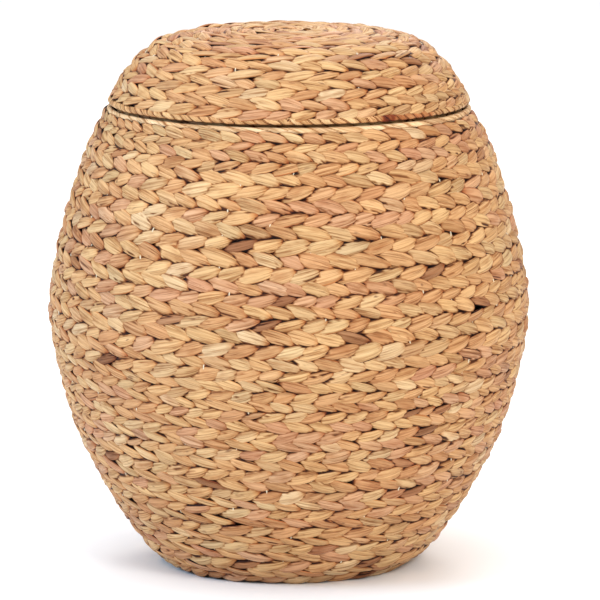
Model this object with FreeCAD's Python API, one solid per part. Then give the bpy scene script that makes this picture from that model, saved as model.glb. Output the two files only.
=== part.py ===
import FreeCAD, Part
import os, math

# Lidded laundry basket: a barrel of thick three-strand plait, wound in one
# spiral and sewn course to course over a light frame of steel wire, with a
# separate domed lid of the same plait that lifts straight off.
# Millimetres.  +Z up, origin on the floor at the centre of the round base.

V = FreeCAD.Vector

# ---------------------------------------------------------------- dimensions
# outer envelope of the body: (height, radius to the crest of the plait)
BODY_PROFILE = [(1.5, 122.0), (8.0, 132.5), (20.0, 144.5), (40.0, 160.0),
                (60.0, 173.5), (80.0, 185.5), (100.0, 196.5), (120.0, 206.0),
                (140.0, 214.0), (160.0, 221.0), (180.0, 226.8), (200.0, 231.4),
                (220.0, 235.6), (240.0, 238.8), (260.0, 240.0), (280.0, 238.5),
                (300.0, 235.3), (320.0, 231.6), (340.0, 227.2), (360.0, 221.8),
                (380.0, 215.6), (400.0, 209.0), (420.0, 201.8), (440.0, 192.4),
                (453.6, 185.5)]
# heights of the sewn seams between neighbouring courses of plait
BODY_SEAMS_Z = [453.6, 439.3, 419.9, 394.6, 371.5, 345.7, 318.5, 295.1, 271.5,
                245.3, 221.4, 200.5, 182.0, 161.0, 140.1, 117.6, 95.8, 76.5,
                56.1, 37.4, 16.5, 1.5]
# outer envelope of the lid
LID_PROFILE = [(470.0, 178.5), (475.0, 175.8), (484.0, 170.8), (493.0, 165.0),
               (502.0, 157.8), (510.0, 150.0), (517.0, 142.5), (523.0, 133.5),
               (528.0, 121.5), (531.5, 107.5), (534.0, 90.0), (535.6, 68.0),
               (536.6, 42.0), (537.0, 0.0)]
LID_COURSES = 8            # courses of plait from the lid's rim to its crown
WALL_T = 13.5              # thickness of the plait through its crest
SEAM_T = 7.5               # thickness left at a seam
LID_T = 12.5
LID_SEAM_T = 7.0
BASE_R = 117.5             # flat coiled base
BASE_T = 12.0
RIM_Z = 457.8              # wire ring inside the body's wound rim
RIM_R = 177.0
RIM_WIRE_R = 2.5
RIM_WRAP_R = 4.0           # outside of the strip wound round the ring
LID_RIM_Z = 466.0
LID_RIM_R = 176.4
LID_WRAP_R = 3.9
WIRE_R = 2.0               # hoops and ribs of the frame
CLEAR = 0.15               # gap between touching pieces of one body
HOOP_Z = {"shoulder_hoop": 395.0, "belly_hoop": 262.0, "lower_hoop": 132.0}
RIBS = 8
HUB_R = 24.0
COLLAR = [(158.5, 446.0), (168.0, 446.0), (170.3, 450.0), (170.3, 462.4),
          (172.4, 464.2), (172.4, 468.0), (170.5, 469.8), (158.5, 469.8)]
STITCHES = 8               # visible thread stitches round each seam


# ---------------------------------------------------------------- helpers
def sample(pts, n=12):
    """Dense smooth run of (r, z) points through a list of (z, r) stations."""
    q = [(r, z) for z, r in pts]
    d = [math.hypot(q[i + 1][0] - q[i][0], q[i + 1][1] - q[i][1]) for i in range(len(q) - 1)]
    t = []
    for i in range(len(q)):
        if i == 0:
            t.append(tuple((q[1][k] - q[0][k]) / d[0] for k in (0, 1)))
        elif i == len(q) - 1:
            t.append(tuple((q[-1][k] - q[-2][k]) / d[-1] for k in (0, 1)))
        else:
            w = d[i] / (d[i - 1] + d[i])
            t.append(tuple(w * (q[i][k] - q[i - 1][k]) / d[i - 1]
                           + (1 - w) * (q[i + 1][k] - q[i][k]) / d[i] for k in (0, 1)))
    out = []
    for i in range(len(q) - 1):
        for j in range(n):
            u = j / float(n)
            h = (2 * u ** 3 - 3 * u ** 2 + 1, (u ** 3 - 2 * u ** 2 + u) * d[i],
                 -2 * u ** 3 + 3 * u ** 2, (u ** 3 - u ** 2) * d[i])
            out.append(tuple(h[0] * q[i][k] + h[1] * t[i][k] + h[2] * q[i + 1][k]
                             + h[3] * t[i + 1][k] for k in (0, 1)))
    out.append(q[-1])
    return out


def arclen(run):
    s = [0.0]
    for a, b in zip(run[:-1], run[1:]):
        s.append(s[-1] + math.hypot(b[0] - a[0], b[1] - a[1]))
    return s


class Envelope:
    """A profile curve with points, inward normals and arc length."""

    def __init__(self, pts):
        self.run = sample(pts)
        self.s = arclen(self.run)
        self.length = self.s[-1]

    def at(self, s, inset=0.0):
        s = min(max(s, 0.0), self.length)
        i = 0
        while i < len(self.s) - 2 and self.s[i + 1] < s:
            i += 1
        a, b = self.run[i], self.run[i + 1]
        f = (s - self.s[i]) / (self.s[i + 1] - self.s[i])
        lo = self.run[max(i - 3, 0)]
        hi = self.run[min(i + 4, len(self.run) - 1)]
        tx, tz = hi[0] - lo[0], hi[1] - lo[1]
        n = math.hypot(tx, tz)
        nx, nz = -tz / n, tx / n           # inward for a run that climbs
        return (a[0] + f * (b[0] - a[0]) + nx * inset,
                a[1] + f * (b[1] - a[1]) + nz * inset)

    def tangent(self, s):
        a, b = self.at(s - 1.0), self.at(s + 1.0)
        return (b[0] - a[0], b[1] - a[1])

    def s_of_z(self, z):
        for i in range(len(self.run) - 1):
            if self.run[i][1] <= z <= self.run[i + 1][1]:
                d = self.run[i + 1][1] - self.run[i][1]
                f = (z - self.run[i][1]) / d if d else 0.0
                return self.s[i] + f * (self.s[i + 1] - self.s[i])
        return self.length if z > self.run[-1][1] else 0.0


def p3(rz):
    return V(max(rz[0], 0.0), 0.0, rz[1])


def ridge_edges(env, stations, crest, seam):
    """Arcs that bulge from seam depth to crest depth between stations."""
    edges = []
    for a, b in zip(stations[:-1], stations[1:]):
        pa, pm, pb = p3(env.at(a, seam)), p3(env.at((a + b) / 2, crest)), p3(env.at(b, seam))
        edges.append(Part.Arc(pa, pm, pb).toShape())
    return edges


def revolve(edges):
    face = Part.Face(Part.Wire(Part.__sortEdges__(edges)))
    solid = face.revolve(V(0, 0, 0), V(0, 0, 1), 360)
    if solid.Volume < 0:
        solid.reverse()
    return Part.Solid(solid.Shells[0]) if solid.ShapeType != "Solid" else solid


def ring(radius, z, wire_r):
    return Part.makeTorus(radius, wire_r, V(0, 0, z), V(0, 0, 1))


def wound_ring(radius, z, outer_r, inner_r):
    return ring(radius, z, outer_r).cut(ring(radius, z, inner_r + 0.05))


def biarc(p, t, q, u):
    """Two arcs from p along t to q along u, meeting with one tangent."""
    v = (q[0] - p[0], q[1] - p[1])
    k = 2 * (1 - (t[0] * u[0] + t[1] * u[1]))
    vt = v[0] * (t[0] + u[0]) + v[1] * (t[1] + u[1])
    vv = v[0] ** 2 + v[1] ** 2
    d = vv / (2 * vt) if k < 1e-9 else (-vt + math.sqrt(vt * vt + k * vv)) / k
    m = ((p[0] + q[0] + d * (t[0] - u[0])) / 2, (p[1] + q[1] + d * (t[1] - u[1])) / 2)
    return m


def arc_from(p, t, q):
    """Arc (or straight run) from p to q that leaves p along t."""
    cx, cz = q[0] - p[0], q[1] - p[1]
    c = math.hypot(cx, cz)
    ux, uz = cx / c, cz / c
    cross = t[0] * uz - t[1] * ux
    if abs(cross) < 1e-3:
        return Part.LineSegment(p3(p), p3(q)).toShape()
    sag = c / 2 * math.tan(math.asin(max(-1.0, min(1.0, cross))) / 2)
    return Part.Arc(p3(p), p3(((p[0] + q[0]) / 2 + uz * sag, (p[1] + q[1]) / 2 - ux * sag)), p3(q)).toShape()


def wire_sweep(stations, wire_r):
    """Round wire bent through ((r, z), (tangent r, tangent z)) stations."""
    edges = []
    for (p, t), (q, u) in zip(stations[:-1], stations[1:]):
        nt, nu = math.hypot(*t), math.hypot(*u)
        t, u = (t[0] / nt, t[1] / nt), (u[0] / nu, u[1] / nu)
        m = biarc(p, t, q, u)
        back = (-u[0], -u[1])
        edges.append(arc_from(p, t, m))
        edges.append(arc_from(q, back, m))
    path = Part.Wire(Part.__sortEdges__(edges))
    p, t = stations[0]
    circle = Part.Wire(Part.makeCircle(wire_r, p3(p), V(t[0], 0, t[1])))
    return path.makePipeShell([circle], True, False, 1)


def around(shape, count, start=0.0):
    out = []
    for k in range(count):
        s = shape.copy()
        s.rotate(V(0, 0, 0), V(0, 0, 1), start + 360.0 * k / count)
        out.append(s)
    return out


def save(shape, name):
    shape.exportStep("parts/%s.step" % name)
    print("%-18s solids %3d  volume %10.0f  valid %s" % (name, len(shape.Solids), shape.Volume, shape.isValid()))


os.makedirs("parts", exist_ok=True)

# ---------------------------------------------------------------- body
body = Envelope(BODY_PROFILE)
seams = [body.s_of_z(z) for z in reversed(BODY_SEAMS_Z)]
seams[0], seams[-1] = 0.0, body.length

outer = ridge_edges(body, seams, 0.0, 3.0)
inner = ridge_edges(body, seams, WALL_T, 3.0 + SEAM_T)
foot = Part.LineSegment(p3(body.at(0.0, 3.0)), p3(body.at(0.0, 3.0 + SEAM_T))).toShape()
head = Part.LineSegment(p3(body.at(body.length, 3.0)), p3(body.at(body.length, 3.0 + SEAM_T))).toShape()
wall = revolve(outer + inner + [foot, head])
wall = wall.cut(Part.makeCylinder(300, 20, V(0, 0, RIM_Z - RIM_WRAP_R - CLEAR), V(0, 0, 1)))

# the coiled base: a flat disc of plait, its edge tucked inside the lowest course
flat = Part.makeCylinder(BASE_R, BASE_T, V(0, 0, 0), V(0, 0, 1))
base = flat.cut(wall)
base = max(base.Solids, key=lambda s: s.Volume)
save(wall, "woven_wall")
save(base, "woven_base")

# wire frame of the body
inset_hoop = WALL_T + CLEAR + WIRE_R
inset_rib = WALL_T + 2 * CLEAR + 3 * WIRE_R
save(ring(RIM_R, RIM_Z, RIM_WIRE_R), "rim_wire")
save(wound_ring(RIM_R, RIM_Z, RIM_WRAP_R, RIM_WIRE_R), "rim_binding")
for name, z in HOOP_Z.items():
    r, zz = body.at(body.s_of_z(z), inset_hoop)
    save(ring(r, zz, WIRE_R), name)

base_hoop_r = 108.0
save(ring(base_hoop_r, BASE_T + CLEAR + WIRE_R, WIRE_R), "base_hoop")
rib_z = BASE_T + 2 * CLEAR + 3 * WIRE_R
rib_pts = [((HUB_R + WIRE_R + CLEAR, rib_z), (1.0, 0.0)), ((104.0, rib_z), (1.0, 0.0))]
for z in (44.0, 80.0, 125.0, 175.0, 220.0, 262.0, 305.0, 350.0, 395.0, 446.0):
    s = body.s_of_z(z)
    rib_pts.append((body.at(s, inset_rib), body.tangent(s)))
rib = wire_sweep(rib_pts, WIRE_R)
save(Part.Compound(around(rib, RIBS, 11.25)), "frame_ribs")
save(ring(HUB_R, rib_z, WIRE_R), "base_hub_ring")

# thread stitches lying in the outer seams of the body
stitches = []
for j, s in enumerate(seams[1:-1]):
    r, z = body.at(s, 2.4)
    st = Part.makeBox(2.0, 7.0, 2.2, V(r - 1.0, -3.5, z - 1.1))
    stitches += around(st, STITCHES, 22.5 + 13.0 * (j % 4) - 12.0 * (j % 3))
save(Part.Compound(stitches), "wall_stitching")

# ---------------------------------------------------------------- lid
lid = Envelope(LID_PROFILE)
rows = [lid.length * k / LID_COURSES for k in range(LID_COURSES + 1)]
outer = ridge_edges(lid, rows[:-1], 0.0, 2.5)
inner = ridge_edges(lid, rows[:-1], LID_T, 2.5 + LID_SEAM_T)


def crown(depth, seam_depth):
    """The middle of the lid, rounded like a cap of a sphere centred on the axis."""
    a = lid.at(rows[-2], seam_depth)
    top = LID_PROFILE[-1][0] - depth
    rise = top - a[1]
    big = (a[0] ** 2 + rise ** 2) / (2 * rise)
    half = math.asin(a[0] / abs(big)) / 2
    side = 1.0 if big > 0 else -1.0
    mid = (abs(big) * math.sin(half), top - big + side * abs(big) * math.cos(half))
    return Part.Arc(p3(a), p3(mid), V(0, 0, top)).toShape()


outer.append(crown(0.0, 2.5))
inner.append(crown(LID_T, 2.5 + LID_SEAM_T))
axis = Part.LineSegment(V(0, 0, LID_PROFILE[-1][0]), V(0, 0, LID_PROFILE[-1][0] - LID_T)).toShape()
lip = Part.LineSegment(p3(lid.at(0.0, 2.5)), p3(lid.at(0.0, 2.5 + LID_SEAM_T))).toShape()
dome = revolve(outer + inner + [axis, lip])
dome = dome.cut(Part.makeCylinder(300, LID_RIM_Z + LID_WRAP_R + 0.05 - 400, V(0, 0, 400), V(0, 0, 1)))
save(dome, "woven_lid")
save(ring(LID_RIM_R, LID_RIM_Z, 2.4), "lid_rim_wire")
save(wound_ring(LID_RIM_R, LID_RIM_Z, LID_WRAP_R, 2.4), "lid_rim_binding")

collar = Part.Face(Part.makePolygon([V(r, 0, z) for r, z in COLLAR + COLLAR[:1]]))
collar = collar.revolve(V(0, 0, 0), V(0, 0, 1), 360)
save(collar, "lid_inner_collar")

lid_hoop_in = LID_T + CLEAR + WIRE_R
lid_rib_in = LID_T + 2 * CLEAR + 3 * WIRE_R
s_mid = lid.length * 0.46
r, z = lid.at(s_mid, lid_hoop_in)
save(ring(r, z, WIRE_R), "lid_crown_hoop")
s0 = lid.s_of_z(482.0)
lid_pts = []
for f in (0.0, 0.2, 0.4, 0.6, 0.8):
    s = s0 + (lid.length - s0) * f
    lid_pts.append((lid.at(s, lid_rib_in), lid.tangent(s)))
lid_pts.append(((HUB_R + WIRE_R + CLEAR, lid.at(lid.length, lid_rib_in)[1] - 0.3), (-1.0, 0.0)))
lid_rib = wire_sweep(lid_pts, WIRE_R)
save(Part.Compound(around(lid_rib, RIBS, 11.25)), "lid_ribs")
save(ring(HUB_R, lid_pts[-1][0][1], WIRE_R), "lid_hub_ring")

stitches = []
for j, s in enumerate(rows[1:-2]):
    r, z = lid.at(s, 2.0)
    n = STITCHES if r > 90 else 5
    st = Part.makeBox(2.0, 7.0, 2.2, V(r - 1.0, -3.5, z - 1.1))
    stitches += around(st, n, 10.0 + 17.0 * j)
save(Part.Compound(stitches), "lid_stitching")

for label, pts in (("rib", rib_pts), ("lid rib", lid_pts)):
    print(label, [(round(a[0], 1), round(a[1], 1)) for a, _ in pts])
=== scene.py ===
import math
import bpy
import numpy as np
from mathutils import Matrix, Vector


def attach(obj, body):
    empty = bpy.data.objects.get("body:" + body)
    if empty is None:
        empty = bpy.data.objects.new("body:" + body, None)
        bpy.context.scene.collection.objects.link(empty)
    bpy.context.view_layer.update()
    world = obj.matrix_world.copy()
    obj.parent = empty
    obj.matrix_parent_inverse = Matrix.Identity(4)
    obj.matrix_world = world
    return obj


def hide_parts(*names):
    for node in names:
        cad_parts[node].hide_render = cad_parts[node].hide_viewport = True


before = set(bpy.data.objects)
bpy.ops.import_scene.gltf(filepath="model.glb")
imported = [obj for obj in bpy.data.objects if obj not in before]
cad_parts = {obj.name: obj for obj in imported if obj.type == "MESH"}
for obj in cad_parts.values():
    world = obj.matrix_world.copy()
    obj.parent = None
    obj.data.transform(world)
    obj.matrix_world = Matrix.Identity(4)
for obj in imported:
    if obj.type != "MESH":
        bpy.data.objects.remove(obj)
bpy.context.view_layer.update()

MM = 0.001
TAU = 2 * math.pi
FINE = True

# ------------------------------------------------------------------ envelopes
# outer envelope (radius, height) in mm, from the rim down the wall, round the
# foot and in along the underside to the middle of the base
BODY = [(185.5, 457.0), (185.5, 453.6), (192.4, 440), (201.8, 420), (209.0, 400), (215.6, 380),
        (221.8, 360), (227.2, 340), (231.6, 320), (235.3, 300), (238.5, 280), (240.0, 260),
        (238.8, 240), (235.6, 220), (231.4, 200), (226.8, 180), (221.0, 160), (214.0, 140),
        (206.0, 120), (196.5, 100), (185.5, 80), (173.5, 60), (160.0, 40), (144.5, 20),
        (135.5, 10.5), (127.0, 4.2), (117.0, 0.8), (105.0, 0.0), (80.0, 0.0), (55.0, 0.0),
        (30.0, 0.0), (12.0, 0.0), (0.5, 0.0)]
# outer envelope of the lid from the middle of the crown out to the rim
LID = [(0.5, 537.0), (20, 536.9), (42.0, 536.6), (68.0, 535.6), (90.0, 534.0), (107.5, 531.5),
       (121.5, 528.0), (133.5, 523.0), (142.5, 517.0), (150.0, 510.0), (157.8, 502.0), (165.0, 493.0),
       (170.8, 484.0), (175.8, 475.0), (178.5, 470.0), (179.0, 468.5)]
# heights of the seams on the front, rim to foot
SEAM_Z = [457.0, 439.3, 419.9, 394.6, 371.5, 345.7, 318.5, 295.1, 271.5, 245.3, 221.4, 200.5,
          182.0, 161.0, 140.1, 117.6, 95.8, 76.5, 56.1, 37.4, 16.5]


# ------------------------------------------------------------------ noise
def _hash(ix, iy, seed):
    h = (ix.astype(np.int64) * 374761393 + iy.astype(np.int64) * 668265263
         + np.asarray(seed, np.int64) * 1442695041) & 0xFFFFFFFF
    h = ((h ^ (h >> 13)) * 1274126177) & 0xFFFFFFFF
    h = ((h ^ (h >> 15)) * 2246822519) & 0xFFFFFFFF
    return ((h ^ (h >> 16)) & 0xFFFFFF) / float(0xFFFFFF)


def noise2(x, y, seed, period=0):
    """Smooth value noise in 0..1; x may wrap round after `period` cells."""
    x, y = np.broadcast_arrays(np.asarray(x, float), np.asarray(y, float))
    ix, iy = np.floor(x).astype(np.int64), np.floor(y).astype(np.int64)
    fx, fy = x - ix, y - iy
    fx, fy = fx * fx * (3 - 2 * fx), fy * fy * (3 - 2 * fy)
    jx = ix + 1
    if period:
        ix, jx = ix % period, jx % period
    a, b = _hash(ix, iy, seed), _hash(jx, iy, seed)
    c, d = _hash(ix, iy + 1, seed), _hash(jx, iy + 1, seed)
    return (a * (1 - fx) + b * fx) * (1 - fy) + (c * (1 - fx) + d * fx) * fy


def rnd(i, seed):
    i = np.asarray(i)
    return _hash(i, np.zeros_like(i), seed)


def smooth(x, lo, hi):
    t = np.clip((x - lo) / (hi - lo), 0, 1)
    return t * t * (3 - 2 * t)


# ------------------------------------------------------------------ profile
class Profile:
    """Dense smooth curve through (r, z) points with arc length and outward normal."""

    def __init__(self, pts):
        p = np.array(pts, float)
        d = np.hypot(*np.diff(p, axis=0).T)
        t = np.zeros_like(p)
        t[0], t[-1] = (p[1] - p[0]) / d[0], (p[-1] - p[-2]) / d[-1]
        for i in range(1, len(p) - 1):
            w = d[i] / (d[i - 1] + d[i])
            t[i] = w * (p[i] - p[i - 1]) / d[i - 1] + (1 - w) * (p[i + 1] - p[i]) / d[i]
        run = []
        for i in range(len(p) - 1):
            u = np.linspace(0, 1, 24, endpoint=False)[:, None]
            run.append((2 * u ** 3 - 3 * u ** 2 + 1) * p[i] + (u ** 3 - 2 * u ** 2 + u) * d[i] * t[i]
                       + (-2 * u ** 3 + 3 * u ** 2) * p[i + 1] + (u ** 3 - u ** 2) * d[i] * t[i + 1])
        run.append(p[-1:])
        q = np.concatenate(run)
        step = np.hypot(*np.diff(q, axis=0).T)
        self.s = np.concatenate([[0], np.cumsum(step)])
        tan = np.gradient(q, self.s + 1e-9 * np.arange(len(q)), axis=0)
        k = np.ones(15) / 15
        tan = np.stack([np.convolve(np.pad(tan[:, j], 7, mode="edge"), k, "valid") for j in (0, 1)], 1)
        tan /= np.linalg.norm(tan, axis=1)[:, None]
        self.q, self.tan, self.length = q, tan, self.s[-1]

    def at(self, s):
        """(r, z), unit tangent, unit outward normal at arc length s."""
        s = np.clip(s, 0, self.length)
        f = lambda a: np.stack([np.interp(s, self.s, a[:, j]) for j in (0, 1)], -1)
        tan = f(self.tan)
        tan /= np.linalg.norm(tan, axis=-1)[..., None]
        return f(self.q), tan

    def s_of_z(self, z):
        i = np.argmin(np.abs(self.q[:, 1] - z))
        return self.s[i]


# ------------------------------------------------------------------ mesh helper

def tube_faces(nr, na, base):
    """Quads of an open tube of nr rings of na vertices, wound to face outwards."""
    i = np.arange(nr - 1)[:, None]
    j = np.arange(na)[None, :]
    a = i * na + j
    b = i * na + (j + 1) % na
    return np.stack([a, a + na, b + na, b], -1).reshape(-1, 4) + base


# ------------------------------------------------------------------ plait
# One strand over half a turn of the weave: share of the half turn, place along the
# plait in leaf pitches, sideways place and half width in half plait widths, height.
# It comes up at the edge from under the leaf before, lies on top, narrows to a point
# in the middle, dives and crosses underneath to the other edge.
WAY = np.array([
    (0.00, -0.66, 0.30, 0.18, -0.80), (0.06, -0.72, 0.58, 0.20, -0.60), (0.12, -0.70, 0.80, 0.26, -0.32),
    (0.20, -0.52, 0.82, 0.36, 0.14), (0.30, -0.22, 0.73, 0.47, 0.54), (0.40, 0.06, 0.62, 0.52, 0.84),
    (0.50, 0.32, 0.51, 0.54, 0.98), (0.60, 0.58, 0.39, 0.51, 1.00), (0.70, 0.82, 0.26, 0.43, 0.88),
    (0.80, 1.04, 0.13, 0.32, 0.62), (0.87, 1.17, 0.03, 0.22, 0.32), (0.93, 1.18, -0.10, 0.17, -0.28),
    (0.97, 1.05, -0.20, 0.17, -0.64), (1.00, 0.84, -0.30, 0.18, -0.80)])
_v = np.arange(0, 180) / 180.0


def _table(v, sign):
    """Smoothed table over the half turn; the next half turn repeats it times sign."""
    base = np.interp(_v, WAY[:, 0], v)
    ext = np.concatenate([sign * base[-20:], base, sign * base[:20]])
    k = np.hanning(15)
    k /= k.sum()
    out = np.convolve(ext, k, "same")[20:-20]
    return np.append(out, sign * out[0])


T_OFF = _table(WAY[:, 1] - 1.5 * WAY[:, 0] + 0.66, 1.0)
T_MID, T_HALF, T_HIGH = _table(WAY[:, 2], -1.0), _table(WAY[:, 3], 1.0), _table(WAY[:, 4], 1.0)


def shelter(S, Y, H, top, reach):
    """How far each point lies below the strands beside it: 0 in the open, 1 deep in a gap."""
    cs, cy = 1.8, 1.15
    i = ((S - S.min()) / cs).astype(int) + 4
    j = np.clip(((Y + 21.0) / cy).astype(int), 3, 33)
    shape = (i.max() + 5, 37)
    yc = (np.arange(37) + 0.5) * cy - 21.0
    out = np.zeros_like(S)
    for sgn, who, k in ((1.0, top, 1.0), (-1.0, ~top, 0.62)):
        G = np.full(shape, -3.0)
        h = sgn * H[who]
        a, b = i[who], j[who]
        np.maximum.at(G, (a, b), h)
        roll = lambda g, p, q: np.roll(np.roll(g, p, 0), q, 1)
        G = np.maximum.reduce([G, roll(G, 1, 0), roll(G, -1, 0), roll(G, 0, 1), roll(G, 0, -1)])
        # the next course stands beside this one
        G = np.maximum(G, np.where(np.abs(yc) > reach + 0.3, 4.2, -3.0)[None, :])
        touch = smooth(G[a, b] - h, 0.30, 1.45)
        soft = np.zeros_like(h)
        for p, q in ((0, 2), (0, -2), (1, 2), (-1, 2), (1, -2), (-1, -2), (2, 0), (-2, 0), (0, 3), (0, -3)):
            soft += np.clip(G[a + p, b + q] - h, 0, 4.5) / 4.5
        soft = smooth(soft / 10.0, 0.10, 0.58)
        out[who] = 1 - (1 - 0.88 * k * touch) * (1 - 0.97 * k * soft)
    return out


class Plait:
    """One long three-strand plait laid on a profile in a spiral.
    seam(t) is the arc length of its upper edge after t turns from the front."""

    def __init__(self, prof, seam, t0, t1, seed, pitch=23.8, taper0=0.0, taper1=0.0, leaf=2.85, deep=0.162, lower=None):
        self.seed = seed
        n = int((t1 - t0) * 1500) + 2
        t = np.linspace(t0, t1, n)
        up, low = seam(t), (lower(t) if lower else seam(t + 1))
        width = np.maximum(low - up, 0.42 * pitch)
        # slow swelling and waver of the plait as it is laid
        width = width * (1 + 0.05 * (noise2(t * 17.0, 0, seed + 5) - 0.5))
        mid = low - width / 2 if taper0 else up + width / 2
        mid = np.where(low - up >= 0.42 * pitch, (up + low) / 2, mid)
        mid = mid + 1.5 * (noise2(t * 9.0, 3.0, seed + 6) - 0.5)
        rz, tan = prof.at(mid)
        self.D = deep * width * (0.74 + 0.26 * smooth(rz[:, 0], 55.0, 105.0))
        self.HT = 0.120 * width
        inset = self.D + self.HT - 0.4 + 3.9 * (1 - smooth(rz[:, 1], 0.5, 9.0))
        nrm = np.stack([-tan[:, 1], tan[:, 0]], 1)
        # outward: away from the inside of the basket
        inside = np.array([0.0, 250.0])
        flip = np.sign(((rz - inside) * nrm).sum(1))
        nrm *= flip[:, None]
        c = rz - nrm * inset[:, None]
        az = TAU * t
        ca, sa = np.cos(az), np.sin(az)
        self.P = np.stack([c[:, 0] * sa, -c[:, 0] * ca, c[:, 1]], 1)
        self.N = np.stack([nrm[:, 0] * sa, -nrm[:, 0] * ca, nrm[:, 1]], 1)
        dP = np.gradient(self.P, axis=0)
        step = np.linalg.norm(dP, axis=1)
        self.T = dP / step[:, None]
        self.N -= (self.N * self.T).sum(1)[:, None] * self.T
        self.N /= np.linalg.norm(self.N, axis=1)[:, None]
        self.B = np.cross(self.N, self.T)
        ups = np.stack([-tan[:, 0] * sa, tan[:, 0] * ca, -tan[:, 1]], 1)
        self.B *= np.sign((self.B * ups).sum(1))[:, None]
        self.s = np.concatenate([[0], np.cumsum(0.5 * (step[1:] + step[:-1]))])
        self.t, self.width = t, width
        # phase along the plait: about one leaf per side for each plait width
        per = leaf * pitch * (width / pitch) ** 0.75
        per = per * (0.88 + 0.24 * noise2(self.s / 90.0, 1.0, seed + 7))
        self.per = per
        self.phase = TAU * np.concatenate([[0], np.cumsum(np.diff(self.s) / (0.5 * (per[1:] + per[:-1])))])
        self.t0, self.t1, self.taper0, self.taper1 = t0, t1, taper0, taper1

    def piece(self, ta, tb, rings, na):
        """Vertices, faces and attributes for the stretch from ta to tb turns."""
        seed = self.seed
        sa, sb = np.interp([ta, tb], self.t, self.s)
        end = self.s[-1]
        cos, fac, at = [], [], {k: [] for k in ("leaf", "tone", "hue", "depth", "grain", "pale", "tip_stain_and_shade")}
        uvs, base, field, inner = [], 0, [], []
        a = TAU * (np.arange(na) + 0.5) / na - math.pi / 2      # seam of the tube on its underside
        for k in range(3):
            # turning of the strand along the plait, and rings at fixed shares of it
            raw = self.phase + k * TAU / 3
            turn = raw + 0.34 * (noise2(raw / math.pi, k, seed + 11 + k) - 0.5)
            lo, hi = np.interp([max(sa, 9.0), min(sb, end - 9.0)], self.s, turn) / math.pi * rings
            j = np.arange(int(math.ceil(lo)) - 3, int(math.ceil(hi)) + 4)
            leaf, m = j // rings, j % rings
            v = (m + 0.5) / rings
            s = np.interp(math.pi * (j + 0.5) / rings, turn, self.s)
            key = leaf * 7 + k * 100003 + seed * 131
            nxt, prv = key + 7, key - 7
            side = np.where(leaf % 2 == 0, 1.0, -1.0)

            def soft(q):
                """leaf's own value, easing to its neighbours' at its hidden ends"""
                w1 = smooth(v, 0.88, 1.0) * 0.5
                w0 = (1 - smooth(v, 0.0, 0.12)) * 0.5
                return rnd(key, q) * (1 - w0 - w1) + rnd(prv, q) * w0 + rnd(nxt, q) * w1

            fat, lift, lat, roll, crump, stretch = (soft(q) for q in (21, 22, 23, 24, 25, 26))
            grid = np.arange(181) / 180.0
            pick = lambda tab: np.interp(v, grid, tab)
            off, mid, half, high = pick(T_OFF), side * pick(T_MID), pick(T_HALF), pick(T_HIGH)
            pitch = np.interp(s, self.s, self.per) / 3.0
            s1 = np.clip(s + off * pitch * (0.80 + 0.50 * stretch) + 2.4 * (lat - 0.5) * np.sin(v * math.pi), 0, end)
            g = lambda arr: np.stack([np.interp(s1, self.s, arr[:, q]) for q in range(arr.shape[1])], 1)
            P, N, T, B = g(self.P), g(self.N), g(self.T), g(self.B)
            width = np.interp(s1, self.s, self.width)
            tt = np.interp(s1, self.s, self.t)
            D0, HT0 = np.interp(s1, self.s, self.D), 0.120 * width
            E = 0.5 * width * 1.08
            y = E * mid * (0.96 + 0.08 * lat) + 0.035 * width * (roll - 0.5) * np.sin(v * math.pi)
            z = D0 * high * (0.84 + 0.32 * lift)
            hw = E * half * (0.96 + 0.24 * fat)
            hw = hw * (1 - 0.30 * (rnd(key, 4) > 0.972))       # a few twisted, shrunken leaves
            ht = HT0 * (0.42 + 1.16 * half) * (0.80 + 0.32 * crump)
            # thin ends where the plait starts or stops
            for flag, dist in ((self.taper0, tt - self.t0), (self.taper1, self.t1 - tt)):
                if flag:
                    q = 0.30 + 0.70 * smooth(dist, 0.0, 0.05)
                    hw, ht = hw * q, ht * q
            C = P + B * y[:, None] + N * z[:, None]
            dC = np.gradient(C, axis=0)
            tn = dC / np.maximum(np.linalg.norm(dC, axis=1), 1e-6)[:, None]
            e2 = N - (N * tn).sum(1)[:, None] * tn
            e2 /= np.linalg.norm(e2, axis=1)[:, None]
            e1 = np.cross(tn, e2)
            eb = np.sign((e1 * B).sum())
            # each leaf leans a little one way or the other
            lean = eb * side * math.radians(7) * np.sin(v * math.pi) + math.radians(24) * (roll - 0.5)
            c1, s1n = np.cos(lean), np.sin(lean)
            f1 = e1 * c1[:, None] + e2 * s1n[:, None]
            f2 = e2 * c1[:, None] - e1 * s1n[:, None]
            ca, sn = np.cos(a), np.sin(a)
            X = np.sign(ca) * np.abs(ca) ** 0.92
            Z = np.sign(sn) * np.abs(sn) ** 1.16
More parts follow.
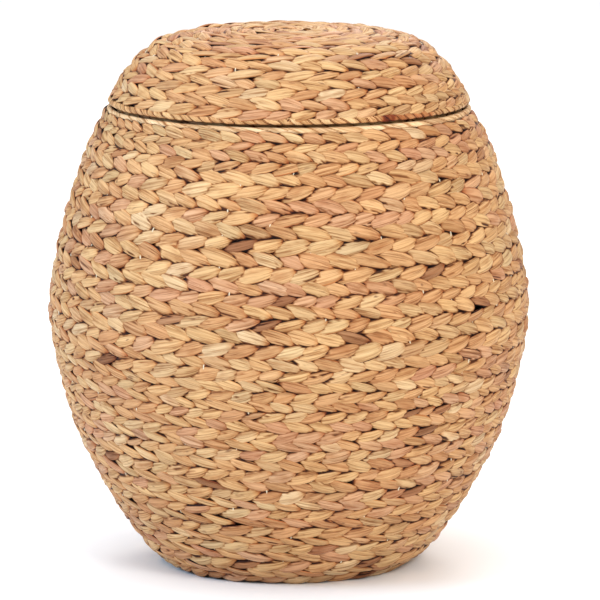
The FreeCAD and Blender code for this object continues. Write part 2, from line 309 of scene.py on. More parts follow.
            # creases that run along the strand: sharp folds, soft ribs, and one deep fold
            ang = np.arange(na) / na
            ss = (s / 40.0)[:, None]
            c_a = noise2(ang[None, :] * 9, ss, seed + 31 + k, 9)
            c_b = noise2(ang[None, :] * 5, ss * 0.7, seed + 41 + k, 5)
            ridge = 1 - np.abs(2 * c_a - 1)
            crease = -(1.2 * (ridge ** 5)) + 0.75 * (c_b - 0.5) + 0.5 * (noise2(ang[None, :] * 14, ss * 1.6, seed + 51, 14) - 0.5)
            fold_at = (0.22 + 0.5 * soft(27))[:, None]
            dist = np.abs(((ang[None, :] - fold_at + 0.5) % 1.0) - 0.5) * na
            crease = crease - 0.62 * np.exp(-(dist / 0.9) ** 2) * (0.2 + 1.0 * soft(28))[:, None]
            bump = crease * 0.66 * (width / 23.8)[:, None] * (0.35 + 1.3 * half)[:, None]
            x = X[None, :] * hw[:, None]
            zz = Z[None, :] * ht[:, None]
            nx = ca[None, :] / np.maximum(hw[:, None], 0.5)
            nz = sn[None, :] / np.maximum(ht[:, None], 0.5)
            nl = np.hypot(nx, nz)
            x = x + nx / nl * bump
            zz = zz + nz / nl * bump
            V = C[:, None, :] + f1[:, None, :] * x[..., None] + f2[:, None, :] * zz[..., None]
            # place of each point in the plait's own frame, to tell the gaps from the faces
            rel = V - P[:, None, :]
            along = ((rel * T[:, None, :]).sum(-1) + s1[:, None])
            across, height = (rel * B[:, None, :]).sum(-1), (rel * N[:, None, :]).sum(-1)
            field.append([q.ravel() for q in (along, across, height, (Z[None, :] > -0.15) & (height > -9))])
            cut = slice(3, -3)
            inner.append(np.repeat(np.arange(len(V)), na))
            inner[-1] = (inner[-1] >= 3) & (inner[-1] < len(V) - 3)
            V = V[cut]
            nr = len(V)
            cos.append(V.reshape(-1, 3))
            f = tube_faces(nr, na, base)
            # face direction depends on the handedness of the local frame
            hand = np.sign((np.cross(f1[nr // 2], f2[nr // 2]) * tn[nr // 2]).sum())
            if hand < 0:
                f = f[:, ::-1]
            fac.append(f)
            cap0 = np.arange(na)[::-1] + base
            cap1 = np.arange(na) + base + (nr - 1) * na
            if hand < 0:
                cap0, cap1 = cap0[::-1], cap1[::-1]
            fac.append((cap0, cap1))
            rep = lambda q: np.repeat(q[cut], na)
            # a leaf strip is used up and replaced every few crossings
            strip = leaf // 5 + k * 31
            at["leaf"].append(rep(0.62 * rnd(key, 1) + 0.38 * rnd(strip, seed + 70 + k)))
            at["tone"].append(rep(0.60 * rnd(key, 2) + 0.40 * rnd(strip, seed + 80 + k)))
            batch = noise2(s / 120.0, k * 3.0, seed + 90)
            at["hue"].append(rep(np.clip(0.5 + 0.90 * (rnd(key, 3) - 0.5) + 1.0 * (batch - 0.5), 0, 1)))
            at["pale"].append(rep(rnd(key, 4)))
            # darker and browner at the leaf ends and along the strand edges: partly real staining, partly painted shade
            tip_stain_and_shade = np.maximum(smooth(v, 0.66, 0.92), 1 - smooth(v, 0.16, 0.36))[cut, None]
            rim = smooth(np.abs(X), 0.80, 1.0)[None, :]
            at["tip_stain_and_shade"].append(np.maximum(tip_stain_and_shade, 0.60 * rim + 0 * tip_stain_and_shade).ravel())
            one = np.ones((nr, na))
            gx = X[None, :] * 2.6 * one + ((key % 97) * 3.1)[cut, None]
            gz = Z[None, :] * 1.2 * one + k * 31.0
            at["grain"].append(np.stack([gx, gz, s[cut, None] * one], -1).reshape(-1, 3))
            uvs.append((nr, na, k))
            base += nr * na
        S, Y, H, top = (np.concatenate([f[q] for f in field]) for q in range(4))
        reach = 0.5 * float(np.interp(0.5 * (sa + sb), self.s, self.width))
        # painted shade: each point is painted darker the deeper it lies in the gaps between the strands
        at["depth"] = [(1.0 - shelter(S, Y, H, top.astype(bool), reach))[np.concatenate(inner)]]
        co = np.concatenate(cos)
        quads = np.concatenate([f for f in fac if not isinstance(f, tuple)])
        caps = [c for f in fac if isinstance(f, tuple) for c in f]
        attrs = {key: np.concatenate(v) for key, v in at.items()}
        uv = strip_uv(uvs, caps)
        return co, quads, caps, attrs, uv


def strip_uv(tubes, caps):
    """Neat strips for baking: each tube is laid out flat along U, wrapped into rows."""
    rows_per = 4
    total = rows_per * len(tubes)
    out = []
    m = 0.0015
    for idx, (nr, na, _) in enumerate(tubes):
        i = np.arange(nr - 1)[:, None]
        j = np.arange(na)[None, :]
        per = (nr - 1) / rows_per
        row = np.minimum((i / per).astype(int), rows_per - 1)
        u0 = (i - row * per) / per
        u1 = (i + 1 - row * per) / per
        u0, u1 = np.clip(u0, 0, None), np.minimum(u1, 1.03)
        u0, u1 = m + u0 * (1 - 2 * m) / 1.03, m + u1 * (1 - 2 * m) / 1.03
        v0 = (idx * rows_per + row + 0.02 + 0.94 * j / na) / total
        v1 = (idx * rows_per + row + 0.02 + 0.94 * (j + 1) / na) / total
        u0, u1 = np.broadcast_to(u0, v0.shape), np.broadcast_to(u1, v0.shape)
        quad = np.stack([np.stack([u0, v0], -1), np.stack([u1, v0], -1),
                         np.stack([u1, v1], -1), np.stack([u0, v1], -1)], 2)
        out.append(quad.reshape(-1, 2))
    uv = np.concatenate(out)
    n = sum(len(c) for c in caps)
    return uv, np.tile([[0.5, 0.9995]], (n, 1))


def plait_object(name, plait, ta, tb, mat, body, node, spacing, na):
    co, quads, caps, attrs, uv = plait.piece(ta, tb, spacing, na)
    n = np.concatenate([np.full(len(quads), 4), np.array([len(c) for c in caps])])
    flat = np.concatenate([quads.ravel()] + [np.asarray(c) for c in caps])
    me = bpy.data.meshes.new(name)
    me.vertices.add(len(co))
    me.vertices.foreach_set("co", (co * MM).astype(np.float32).ravel())
    me.loops.add(len(flat))
    me.loops.foreach_set("vertex_index", flat.astype(np.int32))
    me.polygons.add(len(n))
    me.polygons.foreach_set("loop_start", np.concatenate([[0], np.cumsum(n)[:-1]]).astype(np.int32))
    me.update(calc_edges=True)
    me.polygons.foreach_set("use_smooth", np.ones(len(n), bool))
    for key, val in attrs.items():
        val = np.asarray(val, np.float32)
        if val.ndim == 2:
            me.attributes.new(key, "FLOAT_VECTOR", "POINT").data.foreach_set("vector", val.ravel())
        else:
            me.attributes.new(key, "FLOAT", "POINT").data.foreach_set("value", val.ravel())
    layer = me.uv_layers.new(name="OFBake")
    layer.data.foreach_set("uv", np.concatenate(uv).astype(np.float32).ravel())
    me.materials.append(mat)
    ob = bpy.data.objects.new(name, me)
    bpy.context.scene.collection.objects.link(ob)
    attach(ob, body)
    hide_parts(node)
    return ob


# ------------------------------------------------------------------ materials
def node_mat(name):
    m = bpy.data.materials.new(name)
    m.use_nodes = True
    nt = m.node_tree
    nt.nodes.clear()
    out = nt.nodes.new("ShaderNodeOutputMaterial")
    bsdf = nt.nodes.new("ShaderNodeBsdfPrincipled")
    nt.links.new(bsdf.outputs[0], out.inputs[0])
    return m, nt, bsdf


def srgb(r, g, b):
    f = lambda c: c / 12.92 if c <= 0.04045 else ((c + 0.055) / 1.055) ** 2.4
    return (f(r / 255), f(g / 255), f(b / 255), 1.0)


def attr(nt, name):
    n = nt.nodes.new("ShaderNodeAttribute")
    n.attribute_name = name
    return n


def ramp(nt, fac, stops):
    n = nt.nodes.new("ShaderNodeValToRGB")
    el = n.color_ramp.elements
    while len(el) < len(stops):
        el.new(0.5)
    for e, (p, c) in zip(el, stops):
        e.position = p
        e.color = c
    nt.links.new(fac, n.inputs[0])
    return n.outputs[0]


def math_node(nt, op, a, b=None, clamp=False):
    n = nt.nodes.new("ShaderNodeMath")
    n.operation = op
    n.use_clamp = clamp
    for i, v in enumerate((a, b)):
        if v is None:
            continue
        if isinstance(v, (int, float)):
            n.inputs[i].default_value = v
        else:
            nt.links.new(v, n.inputs[i])
    return n.outputs[0]


def mix(nt, kind, fac, a, b):
    n = nt.nodes.new("ShaderNodeMix")
    n.data_type = "RGBA"
    n.blend_type = kind
    for s, v in ((n.inputs[0], fac), (n.inputs[6], a), (n.inputs[7], b)):
        if isinstance(v, (int, float)):
            s.default_value = v
        elif isinstance(v, tuple):
            s.default_value = v
        else:
            nt.links.new(v, s)
    return n.outputs[2]


def noise_tex(nt, vec, scale, detail=3.0, rough=0.55, dist=0.0):
    n = nt.nodes.new("ShaderNodeTexNoise")
    n.noise_dimensions = "3D"
    n.inputs["Scale"].default_value = scale
    n.inputs["Detail"].default_value = detail
    n.inputs["Roughness"].default_value = rough
    n.inputs["Distortion"].default_value = dist
    nt.links.new(vec, n.inputs["Vector"])
    return n.outputs["Fac"]


def mapped(nt, vec, scale):
    n = nt.nodes.new("ShaderNodeMapping")
    n.inputs["Scale"].default_value = scale
    nt.links.new(vec, n.inputs["Vector"])
    return n.outputs[0]


def plant_material(name, light=1.0, warm=0.0):
    m, nt, bsdf = node_mat(name)
    leaf, tone, hue, pale, depth, tip_stain_and_shade = (attr(nt, a).outputs["Fac"] for a in ("leaf", "tone", "hue", "pale", "depth", "tip_stain_and_shade"))
    grain = attr(nt, "grain").outputs["Vector"]
    # base colour of the dried leaf, one per strip with some change leaf to leaf
    base = ramp(nt, leaf, [(0.00, srgb(188, 134, 90)), (0.25, srgb(200, 151, 103)),
                           (0.48, srgb(206, 161, 111)), (0.66, srgb(208, 167, 116)),
                           (0.83, srgb(210, 175, 130)), (1.00, srgb(211, 180, 141))])
    col = mix(nt, "MIX", math_node(nt, "MULTIPLY", math_node(nt, "SUBTRACT", hue, 0.77, True), 2.6),
              base, srgb(190, 137, 107))
    col = mix(nt, "MIX", math_node(nt, "MULTIPLY", math_node(nt, "SUBTRACT", 0.12, hue, True), 3.6),
              col, srgb(190, 163, 120))
    col = mix(nt, "MIX", math_node(nt, "MULTIPLY", math_node(nt, "SUBTRACT", pale, 0.90, True), 6.0),
              col, srgb(186, 124, 80))
    col = mix(nt, "MIX", math_node(nt, "MULTIPLY", math_node(nt, "SUBTRACT", pale, 0.968, True), 26.0),
              col, srgb(132, 84, 54))
    # long fibres, fine dark creases, and blotches
    fib = noise_tex(nt, mapped(nt, grain, (0.95, 0.95, 0.026)), 1.0, 3.0, 0.62)
    fine = noise_tex(nt, mapped(nt, grain, (2.8, 2.8, 0.055)), 1.0, 3.0, 0.6)
    blot = noise_tex(nt, mapped(nt, grain, (0.25, 0.25, 0.060)), 1.0, 3.0, 0.6)
    line_n = noise_tex(nt, mapped(nt, grain, (1.10, 1.10, 0.022)), 1.0, 2.0, 0.5)
    line = math_node(nt, "ABSOLUTE", math_node(nt, "SUBTRACT", line_n, 0.5))
    where = noise_tex(nt, mapped(nt, grain, (0.6, 0.6, 0.045)), 1.0, 2.0, 0.5, 0.3)
    line = math_node(nt, "ADD", line, math_node(nt, "MULTIPLY", math_node(nt, "SUBTRACT", where, 0.44, True), 0.25))
    col = mix(nt, "MULTIPLY", 1.0, col, ramp(nt, fib, [(0.27, (0.56, 0.43, 0.33, 1)), (0.40, (0.85, 0.78, 0.71, 1)), (0.51, (1.0, 1.0, 1.0, 1)),
                                                      (0.62, (1.06, 1.08, 1.10, 1)), (0.76, (1.15, 1.19, 1.24, 1))]))
    col = mix(nt, "MULTIPLY", 0.9, col, ramp(nt, fine, [(0.30, (0.62, 0.52, 0.43, 1)), (0.46, (0.94, 0.92, 0.90, 1)), (0.62, (1.05, 1.05, 1.05, 1))]))
    col = mix(nt, "MULTIPLY", 1.0, col, ramp(nt, line, [(0.0, (0.56, 0.41, 0.30, 1)), (0.016, (0.80, 0.70, 0.61, 1)), (0.040, (1, 1, 1, 1))]))
    col = mix(nt, "MULTIPLY", 0.9, col, ramp(nt, blot, [(0.30, (0.76, 0.62, 0.52, 1)), (0.48, (1, 1, 1, 1)), (0.72, (1.08, 1.09, 1.10, 1))]))
    col = mix(nt, "MULTIPLY", 1.0, col, ramp(nt, tone, [(0.0, (0.86, 0.83, 0.81, 1)), (0.5, (1.0, 1.0, 1.0, 1)), (1.0, (1.06, 1.07, 1.08, 1))]))
    # browner and darker at the ends and edges of each leaf: partly real staining of the dried leaf, partly painted
    # shade where the ends dive under the next leaf and along the edges
    col = mix(nt, "MULTIPLY", 1.0, col, ramp(nt, math_node(nt, "MULTIPLY", math_node(nt, "MULTIPLY", tip_stain_and_shade, math_node(nt, "ADD", fine, 0.35)),
                                                      math_node(nt, "ADD", math_node(nt, "MULTIPLY", pale, 1.1), 0.55)),
                                            [(0.05, (1, 1, 1, 1)), (0.42, (0.88, 0.69, 0.53, 1)), (0.78, (0.66, 0.35, 0.21, 1)), (1.0, (0.48, 0.20, 0.11, 1))]))
    # shade held in the gaps between the leaves
    col = mix(nt, "MULTIPLY", 1.0, col, ramp(nt, depth, [(0.16, (0.022, 0.008, 0.004, 1)), (0.47, (0.16, 0.074, 0.038, 1)),
                                                        (0.70, (0.60, 0.45, 0.33, 1)), (0.92, (1.0, 1.0, 1.0, 1))]))
    # a few dark blemishes
    spot = noise_tex(nt, mapped(nt, grain, (0.5, 0.5, 0.09)), 1.0, 2.0, 0.5, 0.4)
    col = mix(nt, "MIX", ramp(nt, spot, [(0.69, (0, 0, 0, 1)), (0.77, (0.75, 0.75, 0.75, 1))]), col, srgb(112, 70, 44))
    # lighter copies of the material; on the body rim band the lift is partly its paler cream colour, partly painted
    # light against the shadow of the lid
    if light != 1.0 or warm:
        col = mix(nt, "MULTIPLY", 1.0, col, (light, light * (1 - 0.03 * warm), light * (1 - 0.08 * warm), 1.0))
    nt.links.new(col, bsdf.inputs["Base Color"])
    rough = ramp(nt, fib, [(0.3, (0.72, 0.72, 0.72, 1)), (0.7, (0.48, 0.48, 0.48, 1))])
    nt.links.new(rough, bsdf.inputs["Roughness"])
    bsdf.inputs["Specular IOR Level"].default_value = 0.22
    dip = math_node(nt, "MINIMUM", math_node(nt, "MULTIPLY", line, 9.0), 0.5)
    h = math_node(nt, "ADD", math_node(nt, "MULTIPLY", fib, 0.8), math_node(nt, "MULTIPLY", fine, 0.30))
    h = math_node(nt, "ADD", h, dip)
    b = nt.nodes.new("ShaderNodeBump")
    b.inputs["Strength"].default_value = 0.7
    b.inputs["Distance"].default_value = 0.0014
    nt.links.new(h, b.inputs["Height"])
    nt.links.new(b.outputs[0], bsdf.inputs["Normal"])
    return m


def metal_material(name):
    m, nt, bsdf = node_mat(name)
    tc = nt.nodes.new("ShaderNodeTexCoord")
    n1 = noise_tex(nt, tc.outputs["Object"], 60.0, 4.0, 0.6)
    n2 = noise_tex(nt, tc.outputs["Object"], 400.0, 3.0, 0.6)
    col = ramp(nt, n1, [(0.30, srgb(38, 33, 30)), (0.52, srgb(58, 49, 43)), (0.66, srgb(84, 60, 45)), (0.76, srgb(112, 72, 48))])
    col = mix(nt, "MULTIPLY", 0.6, col, ramp(nt, n2, [(0.3, (0.75, 0.75, 0.75, 1)), (0.7, (1.1, 1.1, 1.1, 1))]))
    nt.links.new(col, bsdf.inputs["Base Color"])
    nt.links.new(ramp(nt, n1, [(0.35, (0.38, 0.38, 0.38, 1)), (0.7, (0.75, 0.75, 0.75, 1))]), bsdf.inputs["Roughness"])
    bsdf.inputs["Metallic"].default_value = 0.35
    b = nt.nodes.new("ShaderNodeBump")
    b.inputs["Strength"].default_value = 0.3
    b.inputs["Distance"].default_value = 0.0003
    nt.links.new(n2, b.inputs["Height"])
    nt.links.new(b.outputs[0], bsdf.inputs["Normal"])
    return m


def thread_material(name):
    m, nt, bsdf = node_mat(name)
    grain = attr(nt, "grain").outputs["Vector"]
    tw = nt.nodes.new("ShaderNodeTexWave")
    tw.inputs["Scale"].default_value = 1.1
    tw.inputs["Distortion"].default_value = 1.5
    tw.inputs["Detail"].default_value = 2.0
    nt.links.new(grain, tw.inputs["Vector"])
    col = ramp(nt, tw.outputs["Fac"], [(0.0, srgb(176, 156, 122)), (0.5, srgb(224, 210, 180)), (1.0, srgb(242, 232, 208))])
    nt.links.new(col, bsdf.inputs["Base Color"])
    nt.links.new(ramp(nt, tw.outputs["Fac"], [(0, (0.8, 0.8, 0.8, 1)), (1, (0.65, 0.65, 0.65, 1))]), bsdf.inputs["Roughness"])
    return m


PLAIT = plant_material("dried plait")
BINDING = plant_material("binding strip", 1.04)
# the body rim band: paler cream, and also brightened as painted light against the shadow of the lid
BINDING_PALE_PAINTED_LIGHT = plant_material("binding_pale_painted_light", 1.22)
METAL = metal_material("frame wire")
THREAD = thread_material("sewing thread")

# ------------------------------------------------------------------ build plaits
spacing, na = (14, 22) if FINE else (11, 16)      # rings per leaf, points round a strand

body_prof = Profile(BODY)
seam_s = [body_prof.s_of_z(z) for z in SEAM_Z]
foot = body_prof.s_of_z(16.5)
rest = body_prof.length - foot
k_in = int(round(rest / 23.6))
seam_s += [foot + rest * (i + 1) / k_in for i in range(k_in)]
seam_s = np.array(seam_s)
tgrid = np.arange(len(seam_s), dtype=float)


def body_seam(t):
    # the first turn runs level under the rim, so the seam only drops away at the back
    t = np.asarray(t, float)
    drop = np.where(t < 1.0, np.where(t < 0, 0.0, 0.35 * t + 0.65 * smooth(t, 0.15, 1.0)), t)
    x = np.clip(drop, 0, len(seam_s) - 1)
    i = np.clip(np.floor(x).astype(int), 0, len(seam_s) - 2)
    u = x - i
    p = np.concatenate([[seam_s[0] - 18.0], seam_s, [seam_s[-1] + 1.0]])
    a, b, c, d = p[i], p[i + 1], p[i + 2], p[np.minimum(i + 3, len(p) - 1)]
    m1, m2 = (c - a) / 2, (d - b) / 2
    return ((2 * u ** 3 - 3 * u ** 2 + 1) * b + (u ** 3 - 2 * u ** 2 + u) * m1
            + (-2 * u ** 3 + 3 * u ** 2) * c + (u ** 3 - u ** 2) * m2)


last = len(seam_s) - 1
body_plait = Plait(body_prof, body_seam, -0.62, last - 1.02, seed=3, taper0=1.0, taper1=0.0)
marks = [-0.62] + [k + 0.5 for k in range(0, last - 2)] + [last - 1.02]
for k, (ta, tb) in enumerate(zip(marks[:-1], marks[1:])):
    if tb - ta < 0.05:
        continue
    on_wall = ta < 19.4
    plait_object("wall_course_%02d" % (k + 1) if on_wall else "base_coil_%02d" % (k - 19), body_plait, ta, tb, PLAIT,
                 "basket", "woven_wall" if on_wall else "woven_base", spacing, na)

lid_prof = Profile(LID)
L = lid_prof.length
from_rim = [0.0, 21.5, 43.5, 67.5, 92.0, 116.0, 140.0, 164.0, 188.0]
lid_s = np.array([L - d for d in from_rim if L - d > 12.0][::-1])
lid_s = np.concatenate([[0.0], lid_s]) if lid_s[0] > 8 else lid_s
nlid = len(lid_s) - 1


def lid_seam(t):
    t = np.asarray(t, float)
    x = np.clip(t, 0, nlid)
    return np.interp(x, np.arange(nlid + 1), lid_s)


lid_plait = Plait(lid_prof, lid_seam, 0.0, nlid - 0.42, seed=17, taper0=0.0, taper1=1.0, leaf=3.2, deep=0.176)
marks = [0.0] + [k + 0.5 for k in range(0, nlid - 1)] + [nlid - 0.42]
for k, (ta, tb) in enumerate(zip(marks[:-1], marks[1:])):
    plait_object("lid_course_%02d" % (k + 1), lid_plait, ta, tb, PLAIT, "lid", "woven_lid", spacing, na)
print("plaits built", len(seam_s), nlid)

# ------------------------------------------------------------------ wound rims
def plain_object(name, V, quads, attrs, mat, body, node):
    me = bpy.data.meshes.new(name)
    me.vertices.add(len(V))
    me.vertices.foreach_set("co", (V * MM).astype(np.float32).ravel())
    me.loops.add(quads.size)
    me.loops.foreach_set("vertex_index", quads.ravel().astype(np.int32))
    me.polygons.add(len(quads))
    me.polygons.foreach_set("loop_start", np.arange(0, quads.size, 4, dtype=np.int32))
    me.update(calc_edges=True)
    me.polygons.foreach_set("use_smooth", np.ones(len(quads), bool))
    for key, val in attrs.items():
        val = np.asarray(val, np.float32)
        if val.ndim == 2:
            me.attributes.new(key, "FLOAT_VECTOR", "POINT").data.foreach_set("vector", val.ravel())
        else:
            me.attributes.new(key, "FLOAT", "POINT").data.foreach_set("value", val.ravel())
    me.materials.append(mat)
    ob = bpy.data.objects.new(name, me)
    bpy.context.scene.collection.objects.link(ob)
    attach(ob, body)
    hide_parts(node)
    return ob


def band(name, R, z0, r, pitch, step, seed, look, mat, body, node):
    """A ring wound with a flat strip: each turn of the strip overlaps the one before."""
    around = int(TAU * R / (1.25 if FINE else 2.2))
    na = 18 if FINE else 12
    u = np.arange(around)[:, None] / around
    a = (np.arange(na) / na)[None, :]
    wraps = int(round(TAU * R / pitch))
    w = u * wraps + 2.0 * a * np.ones_like(u)
    w = w + 0.55 * (noise2(u * wraps * 0.5, 0, seed, max(wraps // 2, 1)) - 0.5) + 0.20 * (noise2(u * wraps, a * 6, seed + 1, wraps) - 0.5)
    idx = np.floor(w).astype(np.int64) % wraps
    f = w - np.floor(w)
    rise = smooth(f, 0.0, 0.16) * (1.0 - 0.75 * f) + 0.25 * rnd(idx, seed + 2)
    rr = r - step * (1.0 - np.clip(rise, 0, 1)) - 0.30 * (1 - noise2(u * wraps * 1.6, a * 7, seed + 3, int(wraps * 1.6)))
    lump = look(u, idx)
    rr = rr * lump.get("size", 1.0)
    ang = TAU * (a + 0.5)
    rad = R + rr * np.cos(ang)
    z = z0 + rr * np.sin(ang) + 0.35 * (noise2(u * 40, 0, seed + 4, 40) - 0.5)
    az = TAU * u
    V = np.stack([rad * np.sin(az), -rad * np.cos(az), z * np.ones_like(az)], -1).reshape(-1, 3)
    i = np.arange(around)[:, None]
    j = np.arange(na)[None, :]
    p00, p10 = i * na + j, ((i + 1) % around) * na + j
    p01, p11 = i * na + (j + 1) % na, ((i + 1) % around) * na + (j + 1) % na
    quads = np.stack([p00, p10, p11, p01], -1).reshape(-1, 4)
    one = np.ones_like(w)
    # painted shade along the seam where each wrap tucks under the next
    shade = smooth(np.minimum(f, 1.0 - f * 0.999), 0.0, 0.13)
    shade = lump.get("seam", 0.22) + (1 - lump.get("seam", 0.22)) * shade
    # shade in the narrow gap that the two rims leave
    gap = lump["gap"] - 0.5
    shade = shade * (1 - lump.get("dark", 0.92) * np.exp(-((np.abs(((a - gap + 0.5) % 1.0) - 0.5)) / 0.10) ** 2))
    # each wrap is browner at its ends: partly real staining, partly painted shade where it tucks under the next
    attrs = dict(leaf=lump["leaf"] * one, tone=rnd(idx, seed + 6) * one, hue=lump["hue"] * one, pale=lump["pale"] * one,
                 depth=shade * one, tip_stain_and_shade=(0.5 * (1 - smooth(f, 0.0, 0.2)) + 0.25 * smooth(f, 0.75, 1.0)) * one)
    if "brown" in lump:
        attrs["tip_stain_and_shade"] = np.maximum(attrs["tip_stain_and_shade"], lump["brown"] * one)
        attrs["tone"] = attrs["tone"] * (1 - lump["brown"])
    attrs = {k: v.ravel() for k, v in attrs.items()}
    gx = (f * 2.2 + idx * 3.1) * one
    attrs["grain"] = np.stack([gx, 0 * gx, a * TAU * r * 1.6 * one], -1).reshape(-1, 3)
    return plain_object(name, V, quads, attrs, mat, body, node)


def lid_look(u, idx):
    deg = u * 360.0
    pink = smooth(deg, 29.0, 31.0) * (1 - smooth(deg, 50.0, 53.0))
    knot = np.exp(-((deg - 31.6) / 1.1) ** 2) + 0.8 * np.exp(-((deg - 34.2) / 0.8) ** 2)
    return dict(brown=np.clip(0.44 * pink + 0.9 * knot, 0, 1), leaf=np.clip(0.25 + 0.55 * rnd(idx, 91) - 0.6 * pink - 0.9 * knot, 0, 1),
                hue=np.clip(0.30 + 0.35 * rnd(idx, 92) + 0.30 * pink, 0, 1),
                pale=np.clip(0.6 * rnd(idx, 93) + 0.42 * knot, 0, 1), size=1.0 - 0.10 * rnd(idx, 94) + 0.10 * np.clip(knot, 0, 1), gap=0.73)


def rim_look(u, idx):
    return dict(leaf=0.86 + 0.14 * rnd(idx, 95), hue=0.42 + 0.15 * rnd(idx, 96), pale=0.3, gap=0.35, seam=0.66, dark=0.40)


band("lid_rim_band", 176.5, 466.25, 3.75, 11.0, 0.80, 61, lid_look, BINDING, "lid", "lid_rim_binding")
band("body_rim_band", 177.7, 457.25, 3.7, 26.0, 0.35, 67, rim_look, BINDING_PALE_PAINTED_LIGHT, "basket", "rim_binding")

# plaited collar under the lid
collar_prof = Profile([(172.0, 469.6), (172.0, 463.0), (172.0, 456.0), (172.0, 446.0)])


collar = Plait(collar_prof, lambda t: 0.0 * t, -0.514, 0.514, seed=29, lower=lambda t: 0.0 * t + 23.5)
plait_object("lid_collar", collar, -0.514, 0.514, PLAIT, "lid", "lid_inner_collar", spacing, na)


# ------------------------------------------------------------------ coil starts
def coil_start(name, R, z_mid, z_edge, seed, body, node):
    """The tightly rolled start of a coil: a low button with a spiral fold in it."""
    nr, na_ = 20, 56
    q = (np.arange(nr) / (nr - 1))[:, None]
    a = (np.arange(na_) / na_)[None, :]
    turns = (q * 3.2 - a + 10.0)
    f = turns - np.floor(turns)
    arch = 4.0 * f * (1 - f)
    up = np.sign(z_mid - z_edge)
    z = z_mid + (z_edge - z_mid) * q ** 2.2 - up * 1.9 * (1 - arch ** 0.6) - up * 0.8 * noise2(turns * 6, a * 9, seed, 0) * 0.5
    r = R * q
    az = TAU * a
    top = np.stack([r * np.sin(az), -r * np.cos(az), z + 0 * az], -1)
    skirt = np.stack([(R * 0.98 + 0 * q[:1]) * np.sin(az), -(R * 0.98 + 0 * q[:1]) * np.cos(az), (z_edge - up * 5.0) + 0 * az], -1)
    V = np.concatenate([top, skirt]).reshape(-1, 3)
    i = np.arange(nr)[:, None]
    j = np.arange(na_)[None, :]
    quads = np.stack([i * na_ + j, (i + 1) * na_ + j, (i + 1) * na_ + (j + 1) % na_, i * na_ + (j + 1) % na_], -1).reshape(-1, 4)
    if up < 0:
        quads = quads[:, ::-1]
    pad = lambda m: np.concatenate([m, m[-1:]]).ravel()
    idx = np.floor(turns + a * 0 + a * 5).astype(np.int64)
    # darker and browner in the groove of the spiral fold: painted shade
    attrs = dict(leaf=pad(0.2 + 0.6 * rnd(idx, seed)), tone=pad(rnd(idx, seed + 1)), hue=pad(0.3 + 0.5 * rnd(idx, seed + 2)),
                 pale=pad(0 * f), depth=pad(smooth(arch, 0.0, 0.5)), tip_stain_and_shade=pad(0.5 * (1 - smooth(arch, 0, 0.5))),
                 grain=np.concatenate([np.stack([f * 3.0, 0 * f, turns * 26.0], -1)] * 1 + [np.stack([f * 3.0, 0 * f, turns * 26.0], -1)[-1:]]).reshape(-1, 3))
    return plain_object(name, V, quads, attrs, PLAIT, body, node)


coil_start("lid_coil_start", 26.0, 536.0, 533.2, 301, "lid", "woven_lid")
coil_start("base_coil_start", 26.0, 2.6, 5.2, 303, "basket", "woven_base")


# ------------------------------------------------------------------ stitches
def stitches(name, prof, seam, t0, t1, step, seed, body, node):
    """Short loops of sewing thread sunk in the seams and middle lines of the plait."""
    ts = []
    t = t0
    while t < t1:
        _, tang = prof.at(seam(t))
        r = prof.at(seam(t))[0][0]
        if r > 25:
            ts.append((t, 0.0 if rnd(len(ts), seed) < 0.62 else 0.5))
        t += step * (0.55 + 0.9 * float(rnd(len(ts) + 7, seed + 1))) / (TAU * max(r, 20.0))
    T = np.array([q[0] for q in ts])
    share = np.array([q[1] for q in ts])
    mid = seam(T) * (1 - share) + seam(T + 1) * share
    nr, na_ = 9, 6
    q = np.linspace(-1, 1, nr)[None, :]
    half = (3.1 + 1.3 * rnd(np.arange(len(T)), seed + 2))[:, None]
    s_ = mid[:, None] + q * half
    rz, tan = prof.at(s_)
    nrm = np.stack([-tan[..., 1], tan[..., 0]], -1)
    nrm *= np.sign(((rz - np.array([0.0, 250.0])) * nrm).sum(-1))[..., None]
    sunk = 1.5 + 0.8 * rnd(np.arange(len(T)), seed + 3)
    hgt = -sunk[:, None] - 2.4 * np.abs(q) ** 3.0
    c = rz + nrm * hgt[..., None]
    az = TAU * T[:, None] + (0.8 * (rnd(np.arange(len(T)), seed + 4) - 0.5))[:, None] * q * 2.0 / c[..., 0]
    ca, sa = np.cos(az), np.sin(az)
    C = np.stack([c[..., 0] * sa, -c[..., 0] * ca, c[..., 1]], -1)
    N = np.stack([nrm[..., 0] * sa, -nrm[..., 0] * ca, nrm[..., 1]], -1)
    S = np.stack([ca, sa, 0 * ca], -1)
    a = TAU * np.arange(na_) / na_
    rad = 0.66
    V = C[:, :, None, :] + rad * (N[:, :, None, :] * np.cos(a)[None, None, :, None] + S[:, :, None, :] * np.sin(a)[None, None, :, None])
    base = (np.arange(len(T)) * nr * na_)[:, None, None]
    i = np.arange(nr - 1)[None, :, None] * na_
    j = np.arange(na_)[None, None, :]
    a0, b0 = base + i + j, base + i + (j + 1) % na_
    quads = np.stack([a0, b0, b0 + na_, a0 + na_], -1).reshape(-1, 4)
    gr = np.stack([np.cos(a)[None, None, :] + 0 * V[..., 0], np.sin(a)[None, None, :] + 0 * V[..., 0],
                   (q * half)[..., None] + 0 * V[..., 0]], -1).reshape(-1, 3)
    return plain_object(name, V.reshape(-1, 3), quads, {"grain": gr}, THREAD, body, node)


stitches("wall_thread", body_prof, body_seam, 1.0, 20.0, 66.0, 201, "basket", "wall_stitching")
stitches("lid_thread", lid_prof, lid_seam, 1.2, nlid - 1.0, 58.0, 211, "lid", "lid_stitching")

for n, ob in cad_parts.items():
    if n not in ("woven_wall", "woven_base", "woven_lid"):
        ob.data.materials.clear()
        ob.data.materials.append(METAL if ("wire" in n or "hoop" in n or "ribs" in n or "hub" in n) else THREAD)

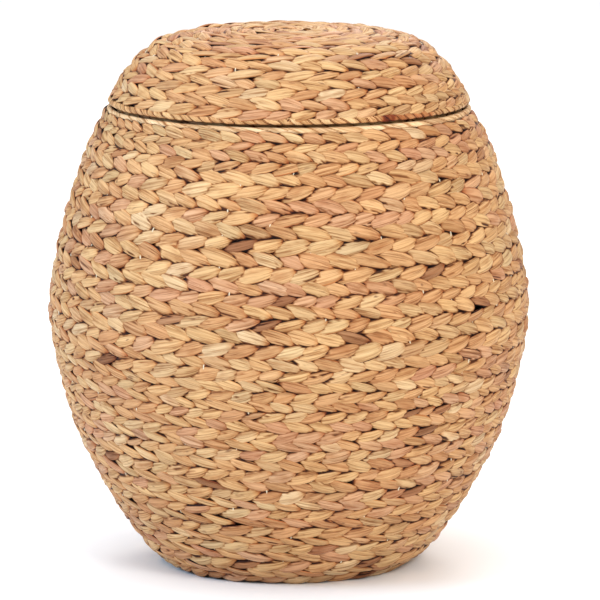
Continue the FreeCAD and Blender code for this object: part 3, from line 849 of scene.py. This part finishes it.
# ------------------------------------------------------------------ stage
fm = bpy.data.materials.new("floor")
fm.use_nodes = True
fb = fm.node_tree.nodes["Principled BSDF"]
fb.inputs["Base Color"].default_value = (0.95, 0.95, 0.95, 1)
fb.inputs["Roughness"].default_value = 0.9
bpy.ops.mesh.primitive_plane_add(size=60, location=(0, 0, 0))
floor = bpy.context.active_object
floor.name = "floor"
floor.data.materials.append(fm)


def area(name, loc, target, size, power, color=(1, 1, 1)):
    d = bpy.data.lights.new(name, "AREA")
    d.shape = "DISK"
    d.size = size
    d.energy = power
    d.color = color
    o = bpy.data.objects.new(name, d)
    bpy.context.scene.collection.objects.link(o)
    o.location = loc
    o.rotation_euler = (Vector(target) - Vector(loc)).to_track_quat("-Z", "Y").to_euler()
    return o


area("key", (1.42, -2.85, 1.9), (0, 0, 0.26), 1.1, 61.5, (1.0, 0.985, 0.945))
area("fill", (-2.9, -1.2, 1.6), (0, 0, 0.25), 1.5, 71, (0.54, 0.74, 1.0))
area("top", (0.1, -0.1, 3.0), (0, 0, 0.2), 2.0, 7)
area("back", (0.6, 3.2, 2.2), (0, 0, 0.25), 1.6, 40)
# sky: bright overhead, dimmer towards the horizon
world = bpy.data.worlds.new("studio")
bpy.context.scene.world = world
world.use_nodes = True
wt = world.node_tree
bg = wt.nodes["Background"]
bg.inputs[0].default_value = (1, 1, 1, 1)
sep = wt.nodes.new("ShaderNodeSeparateXYZ")
wtc = wt.nodes.new("ShaderNodeTexCoord")
wt.links.new(wtc.outputs["Generated"], sep.inputs[0])
sky = ramp(wt, sep.outputs["Z"], [(0.0, (0.16, 0.16, 0.16, 1)), (0.35, (0.32, 0.32, 0.32, 1)), (1.0, (1.8, 1.8, 1.8, 1))])
paths = wt.nodes.new("ShaderNodeLightPath")
seen = wt.nodes.new("ShaderNodeMix")
wt.links.new(paths.outputs["Is Camera Ray"], seen.inputs[0])
wt.links.new(sky, seen.inputs[2])
seen.inputs[3].default_value = 1.0
wt.links.new(seen.outputs[0], bg.inputs[1])
bpy.context.scene.view_settings.view_transform = "Standard"

# ------------------------------------------------------------------ camera
cam_d = bpy.data.cameras.new("camera")
cam = bpy.data.objects.new("camera", cam_d)
bpy.context.scene.collection.objects.link(cam)
cam.location = (0, -5.0, 1.094)
aim = Vector((0, 0, 0.2705))
cam.rotation_euler = (aim - Vector(cam.location)).to_track_quat("-Z", "Y").to_euler()
cam_d.sensor_width = 36
cam_d.lens = 36 * 5064.4 / 600
cam_d.shift_x = 11.0 / 600
cam_d.shift_y = -6.8 / 600
cam_d.clip_start, cam_d.clip_end = 0.1, 200
cam_d.dof.use_dof = False
bpy.context.scene.camera = cam
